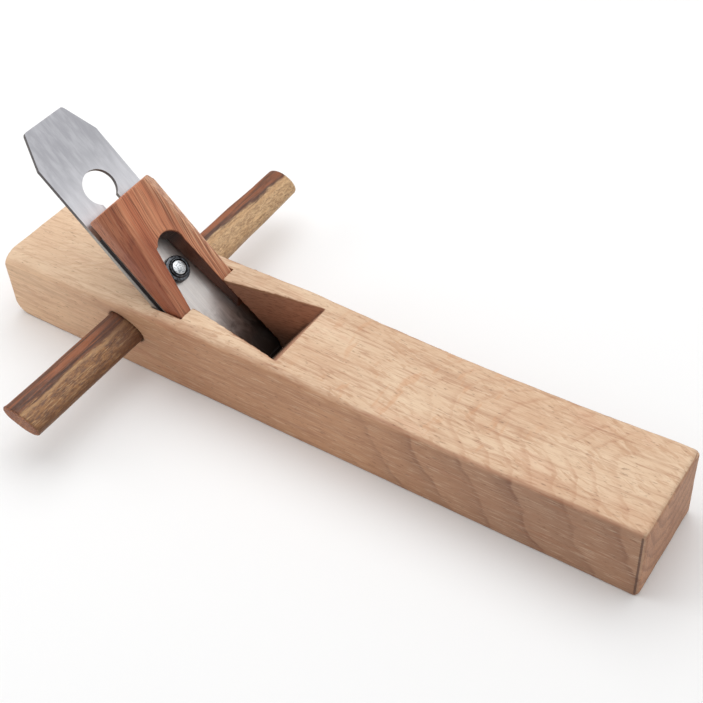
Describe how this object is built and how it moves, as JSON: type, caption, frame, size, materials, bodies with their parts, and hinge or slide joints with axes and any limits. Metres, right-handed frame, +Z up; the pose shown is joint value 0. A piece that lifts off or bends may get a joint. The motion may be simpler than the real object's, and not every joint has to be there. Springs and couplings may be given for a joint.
{
  "type": "wooden bench plane",
  "caption": "Wooden bench plane with a long low stock, a bedded steel iron, a screwed chip breaker, a forked wedge and an oval cross handle.",
  "frame": {"origin": "middle of the sole", "axes": "+X towards the toe, +Y towards the left side, +Z up from the sole"},
  "size_m": [0.4, 0.239, 0.1273],
  "materials": {
    "stock_wood": "planed pale oak with a light oil",
    "handle_wood": "oiled, dark heartwood stripe and mottled sapwood",
    "iron_steel": "ground and brushed",
    "breaker_steel": "ground",
    "blackened_steel": "blackened steel, satin",
    "bright_steel": "turned and bright",
    "wedge_wood": "oiled reddish-brown hardwood"
  },
  "bodies": {
    "stock": {"stock": "stock_wood"},
    "handle": {"cross_handle": "handle_wood"},
    "iron": {"iron": "iron_steel"},
    "breaker": {"chip_breaker": "breaker_steel", "threaded_bush": "blackened_steel"},
    "screw": {"cap_screw": "bright_steel"},
    "wedge": {"wedge": "wedge_wood"}
  },
  "joints": [
    {"name": "handle_slide", "type": "slide", "parent": "stock", "child": "handle", "axis": [0, 1, 0], "range_m": [-0.15, 0.14]},
    {"name": "iron_slide", "type": "slide", "parent": "stock", "child": "iron", "axis": [-0.7071, 0, 0.7071], "range_m": [-0.0008, 0.075]},
    {"name": "breaker_slide", "type": "slide", "parent": "iron", "child": "breaker", "axis": [-0.7071, 0, 0.7071], "range_m": [-0.0005, 0.06]},
    {"name": "wedge_slide", "type": "slide", "parent": "breaker", "child": "wedge", "axis": [-0.7071, 0, 0.7071], "range_m": [0, 0.06]},
    {"name": "screw_turn", "type": "hinge", "parent": "breaker", "child": "screw", "pos_m": [-0.09513, 0, 0.05233], "axis": [0.7071, 0, 0.7071], "range_deg": [0, 720]}
  ]
}
